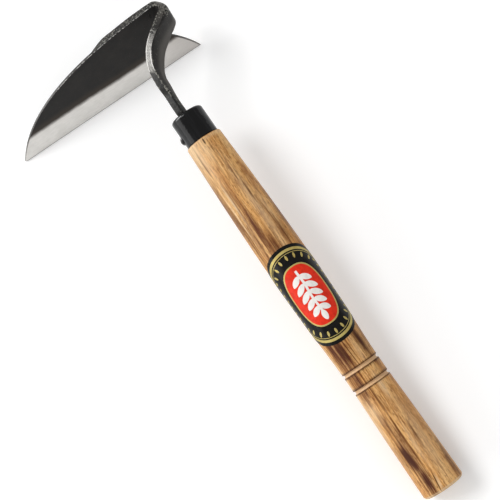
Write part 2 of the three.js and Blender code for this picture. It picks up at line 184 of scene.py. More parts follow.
def side_table():
    """Places along the handle's side, close together, on a smooth curve through its radii"""
    table = []
    last = len(SIDE) - 1
    for step in range(last * 60 + 1):
        span = min(step // 60, last - 1)
        t = step / 60 - span
        a, b, c, d = (Vector(SIDE[min(last, max(0, span + k))]) for k in (-1, 0, 1, 2))
        start, end = (c - a) / 2, (d - b) / 2
        table.append(((b - c) * 2 + start + end) * t ** 3 + ((c - b) * 3 - start * 2 - end) * t * t + start * t + b)
    return table


SIDE_TABLE = side_table()


def side_radius(along):
    for a, b in zip(SIDE_TABLE, SIDE_TABLE[1:]):
        if along <= b.x:
            return blend(a.y, b.y, (along - a.x) / (b.x - a.x))
    return SIDE_TABLE[-1].y


def colour_setting(name, description, code):
    return FloatVectorProperty(name=name, description=description, subtype="COLOR", default=tint(code))


def size_setting(name, description, metres, digits=4):
    return FloatProperty(name=name, description=description, unit="LENGTH", default=metres, precision=digits)


def strength_setting(name, description, strength):
    return FloatProperty(name=name, description=description, default=strength)


class SickleWood(bpy.types.PropertyGroup):
    tan: colour_setting("Tan", "Colour of the plain wood", "D79C58")
    light: colour_setting("Light Grain", "Colour of the palest grain", "EBBA78")
    brown: colour_setting("Toasted", "Colour where the wood is toasted", "54260F")
    dark: colour_setting("Charred", "Colour of the darkest streaks", "3A1C0B")
    groove_width: size_setting("Groove Width", "Width of the two turned grooves", 0.0023)
    groove_depth: size_setting("Groove Depth", "Depth of the two turned grooves", 0.0011)


class SickleSteel(bpy.types.PropertyGroup):
    scale: colour_setting("Forge Scale", "Colour of the black skin of the forging", "181716")
    ground: colour_setting("Ground Steel", "Colour of the ground bevel", "D9D7D3")
    worn: colour_setting("Worn Arris", "Colour of the bared arrises", "C6C4C0")
    lacquer: colour_setting("Ferrule Lacquer", "Colour of the ferrule", "0A0A0B")
    arris: size_setting("Spine Arris", "Width of the broken arris along the spine", 0.00025, 5)


class SickleLabel(bpy.types.PropertyGroup):
    black: colour_setting("Field", "Colour of the label's field", "0B0A08")
    gold: colour_setting("Gold", "Colour of the gold printing", "C0AF6A")
    red: colour_setting("Red", "Colour of the middle panel", "E8321A")
    white: colour_setting("White", "Colour of the sprig in the panel", "F4F1EC")
    length: size_setting("Length", "Length of the label along the handle", 0.0674)
    girth: size_setting("Girth", "Width of the label round the handle", 0.0584)


class SickleStage(bpy.types.PropertyGroup):
    floor: FloatVectorProperty(name="Floor", description="Colour of the floor", subtype="COLOR",
                               default=(0.8, 0.8, 0.8))
    glow: strength_setting("Paper White", "What lifts the floor to white where it is seen", 0.12)
    sky: strength_setting("Sky", "Strength of the soft light from all round", 0.72)
    sun: strength_setting("Key Light", "Strength of the soft key light", 1.25)
    side: strength_setting("Side Light", "Strength of the low light from the left", 0.95)
    sheen: strength_setting("Sheen", "Strength of the light that glossy faces reflect", 6.5)


class Finish:
    """A material in the making: its nodes, and the sockets they hand on"""

    def __init__(self, name):
        self.material = bpy.data.materials.new(name)
        self.material.use_nodes = True
        self.tree = self.material.node_tree
        self.shader = self.tree.nodes["Principled BSDF"]

    def node(self, kind, inputs=None, **settings):
        made = self.tree.nodes.new("ShaderNode" + kind)
        for key, value in settings.items():
            setattr(made, key, value)
        for key, value in (inputs or {}).items():
            self.give(made.inputs[key], value)
        return made

    def give(self, socket, value):
        if isinstance(value, bpy.types.NodeSocket):
            self.tree.links.new(value, socket)
        elif socket.type == "RGBA" and len(value) == 3:
            socket.default_value = (*value, 1)
        else:
            socket.default_value = value

    def place(self, frame_matrix):
        """Coordinates in millimetres in one of the sickle's own frames"""
        where, turn, size = frame_matrix.inverted().decompose()
        told = self.node("TexCoord").outputs["Object"]
        inputs = {"Vector": told, "Location": where, "Rotation": turn.to_euler(), "Scale": size}
        return self.node("Mapping", inputs).outputs["Vector"]

    def stretch(self, coordinates, size, shift=(0, 0, 0)):
        return self.node("Mapping", {"Vector": coordinates, "Scale": size, "Location": shift}).outputs["Vector"]

    def clouds(self, coordinates, scale, detail=3, rough=0.5, bend=0.0):
        inputs = {"Vector": coordinates, "Scale": scale, "Detail": detail, "Roughness": rough, "Distortion": bend}
        return self.node("TexNoise", inputs).outputs["Fac"]

    def sum(self, how, a, b):
        return self.node("Math", {0: a, 1: b}, operation=how).outputs[0]

    def plus(self, a, b):
        return self.sum("ADD", a, b)

    def times(self, a, b):
        return self.sum("MULTIPLY", a, b)

    def ramp(self, value, low, high, start=0.0, end=1.0, soft=True):
        kind = "SMOOTHSTEP" if soft else "LINEAR"
        inputs = {"Value": value, "From Min": low, "From Max": high, "To Min": start, "To Max": end}
        return self.node("MapRange", inputs, interpolation_type=kind).outputs["Result"]

    def mix(self, share, a, b, how="MIX"):
        made = self.node("Mix", data_type="RGBA", blend_type=how)
        self.give(made.inputs[0], share)
        self.give(made.inputs[6], a)
        self.give(made.inputs[7], b)
        return made.outputs[2]

    def stain(self, colour, code, value, low, high, start=0.0, end=1.0, soft=True):
        """Lays a colour over another by how high a value stands between two limits"""
        return self.mix(self.ramp(value, low, high, start, end, soft), colour, tint(code))

    def apart(self, coordinates):
        return self.node("SeparateXYZ", {"Vector": coordinates}).outputs

    def mark(self, name):
        return self.node("Attribute", attribute_name=name, attribute_type="GEOMETRY").outputs["Fac"]

    def bump(self, height, strength, distance):
        made = self.node("Bump", {"Height": height, "Strength": strength, "Distance": distance})
        self.give(self.shader.inputs["Normal"], made.outputs["Normal"])

    def set(self, **values):
        names = {"colour": "Base Color", "rough": "Roughness", "metal": "Metallic", "gloss": "Specular IOR Level",
                 "coat": "Coat Weight", "coat_rough": "Coat Roughness"}
        for key, value in values.items():
            self.give(self.shader.inputs[names[key]], value)
        return self.material


def forged_colour(finish, spots):
    """The black skin of forge scale, a little brown, with sparse bared flecks"""
    steel = bpy.context.scene.sickle_steel
    cloud = finish.clouds(spots, 0.1, 4, 0.6)
    base = finish.stain(steel.scale, "211F1D", cloud, 0.35, 0.7)
    grit = finish.clouds(spots, 1.5, 4, 0.7)
    base = finish.stain(base, "363431", grit, 0.52, 0.78, 0, 0.5)
    flecks = finish.ramp(finish.clouds(spots, 2.3, 2, 0.5), 0.73, 0.78)
    return finish.mix(flecks, base, tint("6F6C67")), grit


def ground_colour(finish, spots):
    """The grinder's finish on the bevel: fine lines along the edge and cloudy, with painted shade towards the heel,
    along the heel's and the tip's edges and at the very edge
    """
    steel = bpy.context.scene.sickle_steel
    along, up, _ = finish.apart(spots)
    lines = finish.clouds(finish.stretch(spots, (0.15, 2.2, 1)), 1.2, 4, 0.7)
    haze = finish.clouds(spots, 0.09, 4, 0.6)
    bright = finish.stain(steel.ground, "CBC9C5", lines, 0.3, 0.7)
    bright = finish.stain(bright, "BEBCB7", haze, 0.42, 0.68, 0, 0.3)
    # Painted shade darkens the bevel towards the heel
    bright = finish.stain(bright, "A8A29E", along, -5, 34, 0, 0.55)
    # Painted shade along the heel's edge
    heel = finish.times(up, finish.plus(finish.times(up, HEEL_CURVE), HEEL_SLOPE))
    heel = finish.ramp(finish.plus(along, heel), HEEL_AT - 1.1, HEEL_AT - 0.5, 0, 0.8)
    bright = finish.mix(heel, bright, tint("3A3836"))
    # Lighter painted shade along the tip's edge
    risen = finish.sum("SUBTRACT", up, TIP_RADIUS)
    tip = finish.times(risen, finish.plus(finish.times(risen, TIP_CURVE), TIP_SLOPE))
    tip = finish.ramp(finish.sum("SUBTRACT", along, tip), TIP_AT + 0.1, TIP_AT + 0.9, 0.7, 0)
    bright = finish.mix(tip, bright, tint("6E6C69"))
    # Painted shade darkens the very edge
    return finish.stain(bright, "8F8D8A", up, 0.35, 0.9, 0.85, 0), lines


def scale_finish(name):
    """Plain forge scale, for the back and the walls of the blade"""
    finish = Finish(name)
    spots = finish.place(LAY @ BLADE)
    colour, grit = forged_colour(finish, spots)
    finish.bump(grit, 0.35, 0.0002)
    return finish.set(colour=colour, rough=finish.ramp(grit, 0.3, 0.7, 0.42, 0.62), metal=0.0, gloss=0.3)


def blade_front_finish():
    """Forge scale above, and the ground bevel below a soft brown border"""
    finish = Finish("blade_front")
    spots = finish.place(LAY @ BLADE)
    colour, grit = forged_colour(finish, spots)
    bright, lines = ground_colour(finish, spots)
    along, up, _ = finish.apart(spots)
    # The grinder bit deeper near the neck and at the heel
    rise = finish.plus(finish.ramp(along, -48, -18, 0, 0.9), finish.ramp(along, 0, 20, 0, -2.75))
    ragged = finish.times(finish.clouds(spots, 0.22, 4, 0.65), 1.6)
    height = finish.plus(finish.plus(up, rise), ragged)
    ground = finish.ramp(height, BEVEL_WIDTH - 2.2, BEVEL_WIDTH + 1.6, 1, 0)
    tinge = finish.ramp(height, BEVEL_WIDTH + 1.0, BEVEL_WIDTH + 6.5, 0.8, 0)
    colour = finish.mix(tinge, colour, tint("3B3229"))
    rough = finish.mix(ground, (0.5, 0.5, 0.5), (0.3, 0.3, 0.3))
    finish.bump(finish.mix(ground, grit, lines), 0.25, 0.0001)
    return finish.set(colour=finish.mix(ground, colour, bright), rough=rough, metal=ground, gloss=0.3)


def ground_finish(name):
    """Ground steel along the cutting edge"""
    finish = Finish(name)
    bright, lines = ground_colour(finish, finish.place(LAY @ BLADE))
    finish.bump(lines, 0.2, 0.0001)
    return finish.set(colour=bright, rough=finish.ramp(lines, 0.3, 0.7, 0.24, 0.36), metal=1.0)


def wear_and_painted_light_finish(name, low, high, tip, bared):
    """Scale worn to grey metal in patches, and grey evenly near the tip, for the spine and its arris; on the spine wall
    the grey is partly painted light
    """
    finish = Finish(name)
    spots = finish.place(LAY @ BLADE)
    colour, grit = forged_colour(finish, spots)
    along = finish.apart(spots)[0]
    near_tip = finish.ramp(along, -72, -50, 1, 0)
    patch = finish.ramp(finish.clouds(spots, 0.9, 4, 0.7), low, high)
    bare = finish.mix(near_tip, patch, (tip, tip, tip))
    metal = finish.mix(near_tip, bared, tint("454341"))
    finish.bump(grit, 0.3, 0.0001)
    rough = finish.ramp(grit, 0.3, 0.7, 0.42, 0.54)
    return finish.set(colour=finish.mix(bare, colour, metal), rough=rough, metal=finish.times(bare, 0.1), gloss=0.2)


def neck_finish():
    """Scale on the neck, worn on its arrises and ground bright on its upper edge, with light and shade painted on its
    outer and upper faces
    """
    finish = Finish("neck_scale")
    spots = finish.place(LAY)
    colour, grit = forged_colour(finish, spots)
    # Painted light lifts the outer faces to grey, and painted shade darkens the upper faces near the rod
    painted_shading = finish.ramp(finish.mark("painted_light_and_shade"), 0.1, 1.0)
    colour = finish.mix(painted_shading, colour, tint("55524E"))
    colour = finish.stain(colour, "080807", finish.mark("painted_light_and_shade"), -0.6, -0.1, 0.9, 0)
    patch = finish.clouds(spots, 0.75, 4, 0.75)
    colour = finish.stain(colour, "4E4C48", patch, 0.52, 0.68, 0, 0.4)
    bared = finish.mark("worn")
    worn = finish.ramp(finish.plus(patch, finish.times(bared, 0.4)), 0.76, 0.92)
    streak = finish.clouds(finish.stretch(spots, (0.3, 1.8, 1.8)), 1.1, 4, 0.7)
    shine = finish.ramp(finish.plus(finish.mark("bright"), finish.ramp(patch, 0.3, 0.7, -0.45, 0.45)), 0.35, 0.75)
    bare = finish.sum("MAXIMUM", finish.times(worn, 0.75), shine)
    metal = finish.stain(tint("84827E"), "53514E", streak, 0.4, 0.56)
    metal = finish.stain(metal, "B4B2AE", bared, 0.5, 0.85)
    metal = finish.mix(shine, tint("9A988F"), metal)
    rough = finish.ramp(bare, 0, 1, 0.5, 0.42, soft=False)
    finish.bump(finish.mix(bare, grit, streak), 0.4, 0.0002)
    return finish.set(colour=finish.mix(bare, colour, metal), rough=rough, metal=finish.times(bare, 0.12), gloss=0.18)


def wood_finish():
    """Toasted and oiled wood, its grain along the handle and its rings on the butt, with painted highlights, painted
    light and painted shade
    """
    wood = bpy.context.scene.sickle_wood
    finish = Finish("toasted_wood")
    spots = finish.place(LAY)
    along, across, _ = finish.apart(spots)
    # Growth rings about a pith that lies outside the handle
    from_pith = finish.stretch(spots, (0.0, 1, 1), (0, 21, 17))
    rings = finish.node("VectorMath", {0: from_pith}, operation="LENGTH").outputs["Value"]
    inputs = {0: finish.times(along, 0.022), 1: rings, 2: finish.times(across, 0.22)}
    grain = finish.node("CombineXYZ", inputs).outputs[0]
    broad = finish.clouds(finish.stretch(grain, (1, 0.5, 1)), 0.6, 3, 0.5, 0.3)
    lines = finish.clouds(grain, 0.85, 5, 0.62, 0.35)
    late = finish.clouds(finish.stretch(grain, (1.3, 1.7, 1.2)), 1.0, 4, 0.6, 0.5)
    pores = finish.clouds(finish.stretch(spots, (0.2, 1, 1)), 1.5, 3, 0.65)
    fine = finish.clouds(finish.stretch(spots, (0.09, 1, 1)), 1.7, 4, 0.75)
    colour = finish.mix(finish.ramp(broad, 0.35, 0.65), wood.light, wood.tan)
    colour = finish.stain(colour, "AC723A", lines, 0.46, 0.64, 0, 0.75)
    colour = finish.stain(colour, "935A2C", late, 0.5, 0.64, 0, 0.55)
    colour = finish.stain(colour, "7A431C", pores, 0.5, 0.66, 0, 0.75)
    colour = finish.stain(colour, "8A5022", fine, 0.5, 0.66, 0, 0.6)
    colour = finish.stain(colour, "F2CC92", fine, 0.34, 0.46, 0.5, 0)
    # The fresh mark lays pale wood, painted highlights and painted light
    colour = finish.stain(colour, "F4DAB2", finish.mark("fresh"), 0, 0.8, 0, 0.85, soft=False)
    mottled = finish.plus(finish.ramp(lines, 0.3, 0.7, -0.2, 0.3), finish.ramp(late, 0.35, 0.65, -0.12, 0.15))
    # Toasting, and painted shade along the handle's darker edge
    toast_and_shade = finish.mark("toast_and_shade")
    toast_and_shade = finish.plus(toast_and_shade, finish.times(finish.ramp(toast_and_shade, 0.02, 0.3), mottled))
    colour = finish.mix(finish.ramp(toast_and_shade, 0.05, 0.95, 0, 1.0, soft=False), colour, wood.brown)
    colour = finish.stain(colour, "D9B68E", finish.mark("cut"), 0, 1, 0, 0.85, soft=False)
    darkest_marks = finish.times(finish.mark("darkest_marks"), finish.ramp(fine, 0.2, 0.7, 0.8, 1.2))
    colour = finish.mix(finish.ramp(darkest_marks, 0.15, 0.85, 0, 0.95), colour, wood.dark)
    relief = finish.plus(finish.plus(lines, late), finish.times(pores, -0.8))
    finish.bump(relief, 0.45, 0.0002)
    return finish.set(colour=colour, rough=finish.ramp(fine, 0.3, 0.7, 0.36, 0.5), gloss=0.14)


def lacquer_finish():
    """Black lacquer, glossy and a little uneven, with painted reflections along it"""
    steel = bpy.context.scene.sickle_steel
    finish = Finish("black_lacquer")
    spots = finish.place(LAY)
    dust = finish.clouds(spots, 0.7, 4, 0.65)
    colour = finish.stain(steel.lacquer, "1A1A1A", dust, 0.5, 0.8, 0, 0.35)
    across = finish.apart(spots)[1]
    # Painted reflections lie in streaks along the ferrule
    painted_reflection_streaks = finish.clouds(finish.stretch(spots, (0.08, 1, 1)), 0.28, 3, 0.5)
    colour = finish.stain(colour, "1B1C1E", painted_reflection_streaks, 0.45, 0.62, 0, 0.5)
    # A painted reflection lightens the side of the ferrule where across falls below -6.4 mm
    colour = finish.stain(colour, "323334", finish.plus(across, finish.times(dust, 1.5)), -8.2, -6.4, 0.55, 0)
    finish.bump(finish.clouds(spots, 0.22, 3, 0.5), 0.5, 0.0005)
    return finish.set(colour=colour, rough=finish.ramp(dust, 0.3, 0.7, 0.09, 0.16), gloss=0.22)


def nail_finish():
    """The black skin of a drawn nail, with the hammer's marks"""
    finish = Finish("black_nail")
    spots = finish.place(LAY)
    grit = finish.clouds(spots, 1.6, 3, 0.6)
    colour = finish.stain(tint("1C1B1A"), "3A3937", grit, 0.45, 0.75)
    finish.bump(finish.clouds(spots, 0.7, 2), 0.4, 0.0003)
    return finish.set(colour=colour, rough=finish.ramp(grit, 0.3, 0.7, 0.3, 0.45), metal=0.6)


def film_finish(name, colour, other, rough, metal=0.0):
    """Printed film, slightly cloudy"""
    finish = Finish(name)
    spots = finish.place(LAY)
    cloud = finish.clouds(spots, 0.35, 4, 0.6)
    mixed = finish.mix(finish.ramp(cloud, 0.4, 0.7), colour, other)
    finish.bump(finish.clouds(spots, 0.25, 2), 0.1, 0.0002)
    return finish.set(colour=mixed, rough=finish.ramp(cloud, 0.3, 0.7, rough, rough + 0.1), metal=metal, gloss=0.16)


def make_piece(bm, name, node, materials, sharp=35, levels=0):
    """Lays a modelled shape in its place in the scene and makes it a piece of the sickle"""
    bmesh.ops.transform(bm, matrix=LAY, verts=bm.verts)
    mesh = bpy.data.meshes.new(name)
    bm.to_mesh(mesh)
    bm.free()
    for material in materials:
        mesh.materials.append(material)
    mesh.shade_smooth()
    if sharp:
        mesh.set_sharp_from_angle(angle=math.radians(sharp))
    piece = bpy.data.objects.new(name, mesh)
    bpy.context.scene.collection.objects.link(piece)
    if levels:
        rounding = piece.modifiers.new("Rounding", "SUBSURF")
        rounding.levels = rounding.render_levels = levels
    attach(piece, "root")
    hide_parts(node)
    return piece


def turn(bm, profile, steps):
    """Spins a profile of (along, radius) places once round the handle's axis"""
    places = [bm.verts.new((along, radius, 0)) for along, radius in profile]
    lines = [bm.edges.new(pair) for pair in zip(places, places[1:])]
    bmesh.ops.spin(bm, geom=places + lines, cent=(0, 0, 0), axis=(1, 0, 0), dvec=(0, 0, 0),
                   angle=math.tau, steps=steps, use_merge=True, use_duplicate=False)
    bmesh.ops.remove_doubles(bm, verts=bm.verts, dist=1e-4)


def arc(along, radius, size, start, end, steps):
    """Places on an arc of a profile, its angles in degrees from the direction of the butt"""
    angles = [math.radians(blend(start, end, i / steps)) for i in range(steps + 1)]
    return [(along + size * math.cos(a), radius + size * math.sin(a)) for a in angles]


class SICKLE_OT_handle(bpy.types.Operator):
    """Turns the wooden handle, with its tenon, its bore and its two grooves"""
    bl_idname = "sickle.handle"
    bl_label = "Handle"

    # Toasted streaks, those along across 12 mm partly painted shade on the handle's darker edge: place along and
    # across, half length, half width, depth of colour, slant
    STREAKS = (
        (86, -4.0, 26, 3.0, 0.72, 0.03), (99, -1.0, 13, 5.0, 0.68, 0), (88, -8.4, 24, 2.0, 0.62, 0.02),
        (60, -8.6, 14, 1.6, 0.34, 0.02), (74, -12.4, 32, 1.8, 0.8, 0), (64, -5.2, 15, 1.9, 0.6, 0.03),
        (95, 8.8, 12, 2.2, 0.55, 0), (73, 0.4, 9, 1.2, 0.22, 0.03), (65, 5.3, 11, 0.6, 0.6, 0.03),
        (48, 3.6, 10, 0.6, 0.45, 0.02), (86, 12.6, 20, 1.6, 0.66, 0), (33, 5.5, 9, 1.2, 0.2, 0),
        (40, -1.5, 20, 0.8, 0.2, 0), (52, -4.6, 12, 1.3, 0.36, 0), (37, -8.9, 15, 0.5, 0.42, 0),
        (78, -11.0, 20, 0.7, 0.75, 0.01), (54, -11.8, 8, 0.6, 0.6, 0), (28, 1.3, 4, 0.7, 0.45, 0),
        (38, 3.0, 9, 0.5, 0.4, 0.03), (47, 5.5, 6, 0.5, 0.55, 0), (56, 0.9, 12, 0.5, 0.3, 0.02),
        (78, 7.2, 14, 0.5, 0.42, 0), (66, -6.2, 12, 0.6, 0.5, 0.02), (175, -4.0, 18, 3.2, 1.1, 0),
        (172, -8.4, 17, 2.3, 0.86, 0), (174, -0.2, 12, 1.9, 0.5, 0), (175, 8.6, 18, 2.6, 1.15, 0),
        (174, 12.2, 17, 1.6, 0.7, 0), (178, 4.6, 12, 1.0, 0.3, 0.04), (195, -5.6, 9, 3.0, 0.75, 0),
        (204, -6.2, 4, 1.4, 0.7, 0), (197, -9.2, 9, 1.6, 0.46, 0), (195, 8.4, 8, 1.8, 0.4, 0),
        (208, -3.8, 13, 2.0, 0.46, 0.04), (206, -9.0, 9, 1.6, 0.5, 0), (218, -0.8, 12, 1.3, 0.3, 0.05),
        (229, -8.0, 11, 2.4, 0.56, 0), (237, -4.6, 14, 2.4, 0.58, 0), (251, -7.8, 15, 3.0, 1.15, 0),
        (249, -3.4, 9, 1.4, 0.5, 0), (268, -7.0, 13, 3.0, 1.0, 0), (239, 3.4, 11, 0.8, 0.32, 0.03),
        (262, 12.2, 22, 1.7, 0.55, 0),
    )

    # Pale places, in the same order of numbers: a few are pale wood, most are painted highlights along the lit edge and
    # painted light on the shaded half
    PALE_WOOD_AND_PAINTED_LIGHT = (
        (24, -9.5, 20, 4.5, 0.55, 0.05), (26, -3.0, 13, 3.6, 0.36, 0), (216, -9.8, 9, 3.0, 0.42, 0),
        (203, -12.7, 40, 1.2, 0.6, 0), (30, -12.8, 24, 1.4, 0.5, 0), (206, 4.0, 9, 2.0, 0.4, 0),
        (246, 0.2, 16, 1.6, 0.3, 0), (272, -1.0, 5, 0.8, 0.5, -0.1), (74, 4.0, 36, 2.6, 0.3, 0),
        (76, 8.4, 14, 2.2, 0.22, 0), (244, 6.0, 34, 4.0, 0.22, 0), (180, 4.0, 10, 1.6, 0.22, 0),
        (64, -7.4, 14, 0.6, 0.65, 0.01), (72, -10.1, 22, 0.5, 0.5, 0.01), (226, -12.6, 24, 1.2, 0.3, 0),
        (36, -6.4, 16, 0.6, 0.3, 0),
    )

    def profile(self, wood):
        width, depth = wood.groove_width / MM, wood.groove_depth / MM
        shoulder = FERRULE_LENGTH + 0.3
        mouth = side_radius(shoulder)
        places = [(BORE_END, 0), (BORE_END, BORE_RADIUS), (1.1, BORE_RADIUS), (1.1, TENON_RADIUS - 1.6),
                  (2.7, TENON_RADIUS), (shoulder, TENON_RADIUS)]
        places += arc(shoulder + 0.8, mouth - 0.8, 0.8, 180, 100, 5)
        side = [shoulder + 1.5 + i * 2.2 for i in range(117)]
        side = [at for at in side if at < HANDLE_LENGTH - BUTT_ROUND
                and all(abs(at - groove) > width * 0.75 for groove in GROOVES)]
        side = [(at, side_radius(at)) for at in side]
        for groove in GROOVES:
            for i in range(-6, 7):
                cut = math.cos(math.pi * i / 12) ** 0.7 if abs(i) < 6 else 0
                at = groove + width / 2 * i / 6
                side.append((at, side_radius(at) - depth * cut))
            for i in (-1, 1):
                at = groove + width * 0.6 * i
                side.append((at, side_radius(at)))
        places += sorted(side)
        places += arc(HANDLE_LENGTH - BUTT_ROUND, BUTT_RADIUS - BUTT_ROUND, BUTT_ROUND, 82, 0, 9)
        places += [(HANDLE_LENGTH, radius) for radius in (9.5, 7, 4.5, 2, 0)]
        return places

    def strength(self, places, x, y):
        """How strong the strongest of the streaks is at a place on the handle's upper side"""
        found = 0.0
        for along, across, length, width, depth, slant in places:
            far = ((x - along) / length) ** 2 + ((y - across - slant * (x - along)) / width) ** 2
            found = max(found, depth * math.exp(-far * 1.1))
        return found

    def colour(self, bm):
        toast_and_shade = bm.verts.layers.float.new("toast_and_shade")
        darkest_marks = bm.verts.layers.float.new("darkest_marks")
        fresh = bm.verts.layers.float.new("fresh")
        cut = bm.verts.layers.float.new("cut")
        for vert in bm.verts:
            x, y, z = vert.co
            round_at = math.atan2(y, z) * 13.5
            sway = 0.9 * noise.noise(Vector((x * 0.05, 3.1, y * 0.1)))
            deep = self.strength(self.STREAKS, x, y + sway) if z > 0 else 0.0
            # Pale wood, painted highlights and painted light, from the pale places
            light = self.strength(self.PALE_WOOD_AND_PAINTED_LIGHT, x, y + sway) if z > 0 else 0.0
            behind = noise.noise(Vector((x * 0.018, round_at * 0.16, 7.7)))
            behind += 0.4 * noise.noise(Vector((x * 0.05, round_at * 0.5, 1.3)))
            behind = smooth((behind - 0.12) / 0.5) * 0.8 * smooth(-z / 6 + 0.3)
            dark = 0.0
            clean = 0.0
            for groove in GROOVES:
                # Thin dark lines along the grooves' rims
                dark = max(dark, 0.8 * math.exp(-((abs(x - groove) - 1.3) / 0.26) ** 2))
                clean = max(clean, 1 - smooth((abs(x - groove) - 0.85) / 0.25))
            # Lighter lines at the wood's front end and along the butt's rim
            ends = max(0.7 * math.exp(-((x - 20.7) / 0.4) ** 2), 0.5 * smooth((x - 275.9) / 0.8))
            vert[cut] = clean
            vert[fresh] = max(ends, light)
            vert[toast_and_shade] = max(deep, behind) * (1 - 0.6 * max(clean, ends))
            dark = max(dark, 0.9 * math.exp(-((x - FERRULE_LENGTH) / 0.6) ** 2))
            knot = split = 0
            if z > 0:
                knot = math.exp(-((x - 22.4) / 2.1) ** 2 - ((y + 0.4) / 0.75) ** 2)
                split = math.exp(-((x - 271) / 6.5) ** 4 - ((y + 2.2 + 0.12 * (x - 271)) / 0.4) ** 2)
            vert[darkest_marks] = max(dark, knot, split, 0.5 * smooth((deep - 0.6) / 0.4))

    def execute(self, context):
        bm = bmesh.new()
        turn(bm, self.profile(context.scene.sickle_wood), 176)
        bmesh.ops.recalc_face_normals(bm, faces=bm.faces)
        self.colour(bm)
        make_piece(bm, "handle_wood", "handle", [wood_finish()])
        return {"FINISHED"}


def only(kind, parts):
    """Those of the mesh's parts that are of one kind"""
    return [part for part in parts if isinstance(part, kind)]


def cut_along(bm, place, direction, **settings):
    """Cuts the whole shape along a plane, and gives back what lies on the cut"""
    whole = bm.verts[:] + bm.edges[:] + bm.faces[:]
    return bmesh.ops.bisect_plane(bm, geom=whole, plane_co=place, plane_no=direction, **settings)["geom_cut"]


def ring_edges(ring):
    """The edges that join a ring's corners, one to the next"""
    ring = set(ring)
    return list({edge for vert in ring for edge in vert.link_edges if edge.other_vert(vert) in ring})


class SICKLE_OT_ferrule(bpy.types.Operator):
    """Draws the black ferrule, a cup whose end is pierced for the rod"""
    bl_idname = "sickle.ferrule"
    bl_label = "Ferrule"

    def execute(self, context):
        steps = 96
        bm = bmesh.new()
        inside = FERRULE_RADIUS - FERRULE_WALL
        shoulder = FERRULE_RADIUS - FERRULE_SHOULDER
        outer = [(0.0, LIP_RADIUS)] + arc(FERRULE_SHOULDER, shoulder, FERRULE_SHOULDER, 180, 90, 12)
        outer += [(at, FERRULE_RADIUS) for at in (6, 10, 14, 18.9)]
        outer += arc(FERRULE_LENGTH - 0.25, FERRULE_RADIUS - 0.25, 0.25, 90, 0, 3)
        inner = [(FERRULE_LENGTH, inside)]
        inner += arc(FERRULE_SHOULDER, shoulder, FERRULE_SHOULDER - FERRULE_WALL, 90, 180, 6)
        turn(bm, outer + inner + [(FERRULE_WALL, LIP_RADIUS)], steps)
        lips = [[v for v in bm.verts if abs(v.co.x - at) < 1e-4 and abs(math.hypot(v.co.y, v.co.z) - LIP_RADIUS) < 1e-3]
                for at in (0, FERRULE_WALL)]
        holes = []
        for at in (0.0, FERRULE_WALL):
            place = Matrix.Translation((at, -ROD_ASIDE, 0)) @ Matrix.Rotation(math.pi / 2, 4, "Y")
            holes.append(bmesh.ops.create_circle(bm, segments=steps, radius=ROD_HOLE, matrix=place)["verts"])
        outer_lip, inner_lip = (ring_edges(lip) for lip in lips)
        front, back = (ring_edges(hole) for hole in holes)
        bmesh.ops.bridge_loops(bm, edges=outer_lip + front)
        bmesh.ops.bridge_loops(bm, edges=inner_lip + back)
        bmesh.ops.bridge_loops(bm, edges=front + back)
        bmesh.ops.recalc_face_normals(bm, faces=bm.faces)
        make_piece(bm, "ferrule_cup", "ferrule", [lacquer_finish()])
        return {"FINISHED"}


class SICKLE_OT_nail(bpy.types.Operator):
    """Forms the nail that holds the ferrule and the tang"""
    bl_idname = "sickle.nail"
    bl_label = "Ferrule Nail"

    def execute(self, context):
        bm = bmesh.new()
        crown = (HEAD_RADIUS ** 2 + HEAD_HEIGHT ** 2) / (2 * HEAD_HEIGHT)
        spread = math.degrees(math.asin(HEAD_RADIUS / crown))
        profile = arc(crown - HEAD_HEIGHT, 0, crown, 180, 180 - spread + 4, 10)
        profile += [(-0.12, 2.82), (0.0, 2.7), (0.0, PIN_RADIUS), (13, PIN_RADIUS), (16.9, 0.3), (PIN_LENGTH, 0)]
        turn(bm, profile, 48)
        bmesh.ops.recalc_face_normals(bm, faces=bm.faces)
        for vert in bm.verts:
            if vert.co.x < 0:
                vert.co.x += 0.12 * noise.noise(vert.co * 0.6) + 0.06
        place = Matrix.Translation((PIN_AT, -(FERRULE_RADIUS + 0.1), 0)) @ Matrix.Rotation(math.pi / 2, 4, "Z")
        bmesh.ops.transform(bm, matrix=place, verts=bm.verts)
        make_piece(bm, "ferrule_nail", "ferrule_pin", [nail_finish()])
        return {"FINISHED"}


